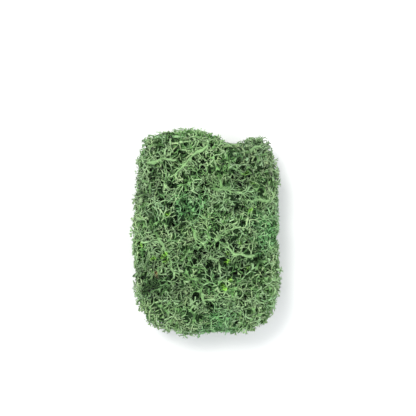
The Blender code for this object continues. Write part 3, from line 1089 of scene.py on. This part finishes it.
def twig_roots(name, rng):
    """(habit, place, heading, flow, level) for each side twig on the stems that grow from a tuft."""
    roots = []
    for stem, owner in zip(stems, stem_owners):
        if owner != name:
            continue
        for count, k in enumerate(range(len(stem) - 2, 0, -TWIG_EVERY)):
            along = (stem[k + 1] - stem[k]).normalized()
            side = (-1) ** count if count else 0
            turned_off = UP.cross(along) * side
            slant = along * TWIG_SLANT * rng.uniform(*TWIG_SLANT_RANGE)
            heading = (turned_off + slant + UP * TWIG_LIFT).normalized()
            roots.append(("side_twig", stem[k], heading, UP.cross(heading), 0))
    return roots


# %% [markdown]
# ## Planting
# Thousands of copies are made with arrays: a sprig's corners are turned, scaled and moved for each root,
# and all of a tuft's sprigs are joined in one go. A sprig that lies over does so away from the tuft's
# heart, give or take, so the lace seems to flow outward. Each corner carries numbers that the material
# reads. Paleness and shade runs from 0, painted shade in the dark, to 1 in the lit skin, and each sprig
# is painted a little darker towards its root. Tone is one draw for each sprig, from bluish to yellowish,
# and lime and bark mark the coloured spots.

# %% Plant a tuft's sprigs
SPRIG_SIZES = (0.85, 1.2)
TONE_SPREAD = 0.3
PALENESS_SPREAD = 0.1
ROOT_PAINTED_SHADE = 0.12


def sprig_arrays(sprig):
    """A sprig's corners, its faces and how far along it each corner lies."""
    corners, faces = read_triangles(sprig)
    reach = np.linalg.norm(corners, axis=1)
    return corners, faces, reach / reach.max()


stock = {habit: [sprig_arrays(sprig) for sprig in grown] for habit, grown in sprigs.items()}


def plant(roots, spin_spread, rng):
    """All sprigs at these roots: corners, faces, and each corner's sprig, paleness with painted shade towards
    the root, tone and level.
    """
    corners = [np.empty((0, 3))]
    faces = [np.empty((0, 3), int)]
    members = [np.empty(0, int)]
    numbers = [np.empty((0, 3))]
    total = 0
    for member, (habit, place, heading, flow, level) in enumerate(roots):
        points, triangles, along = stock[habit][rng.integers(len(stock[habit]))]
        ahead = (flow - heading * flow.dot(heading)).normalized()
        axes = np.array((ahead, heading.cross(ahead), heading))
        spin = np.array(Matrix.Rotation(spin_spread * rng.normal(), 3, "Z"))
        corners.append(points @ spin.T @ axes * rng.uniform(*SPRIG_SIZES) + np.array(place))
        faces.append(triangles + total)
        members.append(np.full(len(points), member))
        # Random paleness for each sprig, and painted shade that darkens it towards its root.
        pale = 1 + PALENESS_SPREAD * rng.normal() - ROOT_PAINTED_SHADE * (1 - along)
        tone = np.full(len(points), TONE_SPREAD * rng.normal())
        numbers.append(np.stack([pale, tone, np.full(len(points), level)], axis=1))
        total += len(points)
    return *(np.concatenate(lists) for lists in (corners, faces, members)), *np.concatenate(numbers).T


# %% Join a tuft
STRAW_HEIGHT = 14 * MM
STRAW_TONE = 1.2
SPOT_FLOOR = 34 * MM
SPOT_RANGE = 8 * MM
LACE_SPIN = 0.55
TWIG_SPIN = 0.2
TWIG_ROOM = 2 * MM
TWIG_PALENESS = 0.9


def add_numbers(mesh, name, values):
    numbers = mesh.attributes.new(name, "FLOAT", "POINT")
    numbers.data.foreach_set("value", np.asarray(values, np.float32))


def dress_tuft(node, mix, closeness, seed):
    """The finished tuft: its rounded solid, all its sprigs and the side twigs of its stems in one mesh."""
    rng = np.random.default_rng(seed)
    tuft, tips = rounded_copy(node)
    finer_stems(tuft)
    body, body_faces = read_triangles(tuft)
    body, body_paleness_and_shade = finish_body(body)
    roots = choose_roots(node, tips, mix, closeness, rng)
    lace, lace_faces, member, lace_pale, lace_tone, level = plant(roots, LACE_SPIN, rng)
    lace = pressed_round(moved_whole(lace, member, level), level)
    lace = under_the_stems(pressed_down(lace, level), level)
    twigs, twig_faces, _, twig_pale, twig_tone, _ = plant(twig_roots(node.name, rng), TWIG_SPIN, rng)
    twigs = pressed_down(pressed_in(twigs, 0), -TWIG_ROOM)
    corners = np.clip(np.concatenate([body, lace, twigs]), box_low, box_high)
    faces = np.concatenate([body_faces, lace_faces + len(body), twig_faces + len(body) + len(lace)])
    mesh = bpy.data.meshes.new(tuft.name)
    mesh.from_pydata(corners.tolist(), [], faces.tolist())
    # Painted shade: the lace darkens with its depth under the skin. The side twigs lie lit on top.
    paleness_and_shade = np.concatenate([body_paleness_and_shade, light_at(lace) * lace_pale, twig_pale * TWIG_PALENESS])
    tone = np.concatenate([np.zeros(len(body)), lace_tone, twig_tone])
    straw = STRAW_TONE * np.clip(1 - corners[:, 2] / STRAW_HEIGHT, 0, 1)
    on_top = np.clip((corners[:, 2] - SPOT_FLOOR) / SPOT_RANGE, 0, 1)
    add_numbers(mesh, "paleness_and_shade", np.clip(paleness_and_shade, 0, 1))
    add_numbers(mesh, "tone", tone + straw)
    add_numbers(mesh, "lime", spot_share(corners, LIME_SPOTS, SPOT_STEEPNESS) * on_top)
    add_numbers(mesh, "bark", spot_share(corners, BARK_SPOTS, SPOT_STEEPNESS) * on_top)
    mesh.shade_smooth()
    tuft.data = mesh
    return tuft, len(roots)


# %% [markdown]
# ## Dyed lichen
# The colour runs with the paleness-and-shade number from a blackish green, which is painted shade, to a
# pale, slightly milky green on the lit tips. The tone number slides it towards blue or yellow, the lime
# and bark numbers colour a few spots, and fine noise breaks it up. The surface is felted: rough and
# finely grainy, with a faint sheen and no gloss.

# %% Mix the materials
# moss_bright and moss_deep are lighter and darker copies of one green: painted light on the tufts that stand
# high and painted shade on those that lie low. moss_blue differs in hue. Each deep colour is the painted
# shade inside the clump.
SHADES = {
    "moss_bright": {"deep": (0.03, 0.082, 0.028), "middle": (0.138, 0.32, 0.099), "tip": (0.338, 0.52, 0.27)},
    "moss_mid": {"deep": (0.027, 0.072, 0.024), "middle": (0.125, 0.28, 0.09), "tip": (0.304, 0.47, 0.248)},
    "moss_blue": {"deep": (0.021, 0.072, 0.026), "middle": (0.102, 0.29, 0.095), "tip": (0.26, 0.47, 0.234)},
    "moss_deep": {"deep": (0.022, 0.058, 0.02), "middle": (0.1, 0.22, 0.075), "tip": (0.265, 0.4, 0.219)},
}
RAMP_ENDS = (0.08, 0.95)
RAMP_MIDDLE = 0.5
BLUISH = (0.88, 1.0, 0.94, 1)
YELLOWISH = (1.14, 1.02, 0.86, 1)
LIME = (0.28, 0.66, 0.06, 1)
BARK = (0.26, 0.10, 0.05, 1)
FELT = {"Roughness": 0.85, "Specular IOR Level": 0.25, "Sheen Weight": 0.08, "Sheen Roughness": 0.5}
NOISE_SCALE = 260
NOISE_DETAIL = 3
NOISE_RANGE = (0.3, 0.7)
UNEVENNESS = (0.86, 1.14)
GRAIN_SCALE = 1600
GRAIN_DETAIL = 2
GRAIN_DEPTH = 0.12 * MM


def mix_moss(name, deep, middle, tip):
    """A felted green whose colour follows the numbers on the mesh."""
    material = bpy.data.materials.new(name)
    material.use_nodes = True
    nodes = material.node_tree.nodes
    links = material.node_tree.links
    shader = nodes["Principled BSDF"]
    for socket, value in FELT.items():
        shader.inputs[socket].default_value = value

    def number(attribute):
        node = nodes.new("ShaderNodeAttribute")
        node.attribute_name = attribute
        return node.outputs["Fac"]

    def mixed(factor, one, other, blend="MIX"):
        """Mixes two colours, each a fixed one or another node's output."""
        node = nodes.new("ShaderNodeMix")
        node.data_type = "RGBA"
        node.blend_type = blend
        for value, socket in ((factor, "Factor"), (one, "A"), (other, "B")):
            if isinstance(value, bpy.types.NodeSocket):
                links.new(value, node.inputs[socket])
            else:
                node.inputs[socket].default_value = value
        return node.outputs["Result"]

    def ranged(value, ends, results):
        node = nodes.new("ShaderNodeMapRange")
        node.inputs["From Min"].default_value, node.inputs["From Max"].default_value = ends
        node.inputs["To Min"].default_value, node.inputs["To Max"].default_value = results
        links.new(value, node.inputs["Value"])
        return node.outputs["Result"]

    def noise(scale, detail):
        node = nodes.new("ShaderNodeTexNoise")
        node.inputs["Scale"].default_value = scale
        node.inputs["Detail"].default_value = detail
        links.new(place.outputs["Object"], node.inputs["Vector"])
        return node.outputs["Fac"]

    place = nodes.new("ShaderNodeTexCoord")
    ramp = nodes.new("ShaderNodeValToRGB")
    stops = ramp.color_ramp.elements
    stops[0].position, stops[1].position = RAMP_ENDS
    stops[0].color = (*deep, 1)
    stops[1].color = (*tip, 1)
    stops.new(RAMP_MIDDLE).color = (*middle, 1)
    links.new(number("paleness_and_shade"), ramp.inputs["Fac"])

    hue = mixed(ranged(number("tone"), (-1, 1), (0, 1)), BLUISH, YELLOWISH)
    tinted = mixed(1.0, ramp.outputs["Color"], hue, "MULTIPLY")
    dyed = mixed(number("bark"), mixed(number("lime"), tinted, LIME), BARK)
    uneven = ranged(noise(NOISE_SCALE, NOISE_DETAIL), NOISE_RANGE, UNEVENNESS)
    links.new(mixed(1.0, dyed, uneven, "MULTIPLY"), shader.inputs["Base Color"])

    grain = nodes.new("ShaderNodeBump")
    grain.inputs["Distance"].default_value = GRAIN_DEPTH
    links.new(noise(GRAIN_SCALE, GRAIN_DETAIL), grain.inputs["Height"])
    links.new(grain.outputs["Normal"], shader.inputs["Normal"])
    return material


materials = {name: mix_moss(name, **colours) for name, colours in SHADES.items()}
print("mixed", list(materials))

# %% [markdown]
# ## Dressing every tuft
# The record says which shade each tuft has; the bright and the deep ones are painted light and painted
# shade for tufts that stand high and lie low. The round heads get crowns, set close. The open tufts get
# antlers and runners, set wide, and the others are mostly net.

# %% Dress them
NET_MIX = {"crown": 0.05, "star": 0.3, "fan": 0.4, "antler": 0.1, "runner": 0.15}
OPEN_MIX = {"star": 0.15, "fan": 0.35, "antler": 0.2, "runner": 0.3}
HEAD_MIX = {"crown": 0.7, "star": 0.3}
HEADS = ("tuft_bright_dome", "tuft_soft_head", "tuft_foot_middle_right", "tuft_middle_right")
OPEN_TUFTS = ("tuft_left_open", "tuft_lower_left_low", "tuft_hollow", "tuft_top_left", "tuft_right_horn")
HEAD_CLOSENESS = 0.78
OPEN_CLOSENESS = 1.1


def habits_of(name):
    """The mix of sprigs of a tuft, and how close they stand."""
    if name in HEADS:
        return HEAD_MIX, HEAD_CLOSENESS
    if name in OPEN_TUFTS:
        return OPEN_MIX, OPEN_CLOSENESS
    return NET_MIX, 1


shade_of = {part["node"]: part["material_slot"] for part in frame["record"]["subparts"]}

whole = 0
for seed, (name, node) in enumerate(sorted(frame["nodes"].items())):
    tuft, planted = dress_tuft(node, *habits_of(name), seed)
    tuft.data.materials.append(materials[shade_of[name]])
    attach(tuft, "root")
    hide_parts(name)
    whole += len(tuft.data.polygons)
    print(tuft.name, planted, "sprigs,", len(tuft.data.polygons), "faces")
for grown in sprigs.values():
    for sprig in grown:
        bpy.data.objects.remove(sprig)
print("the whole clump has", whole, "faces")
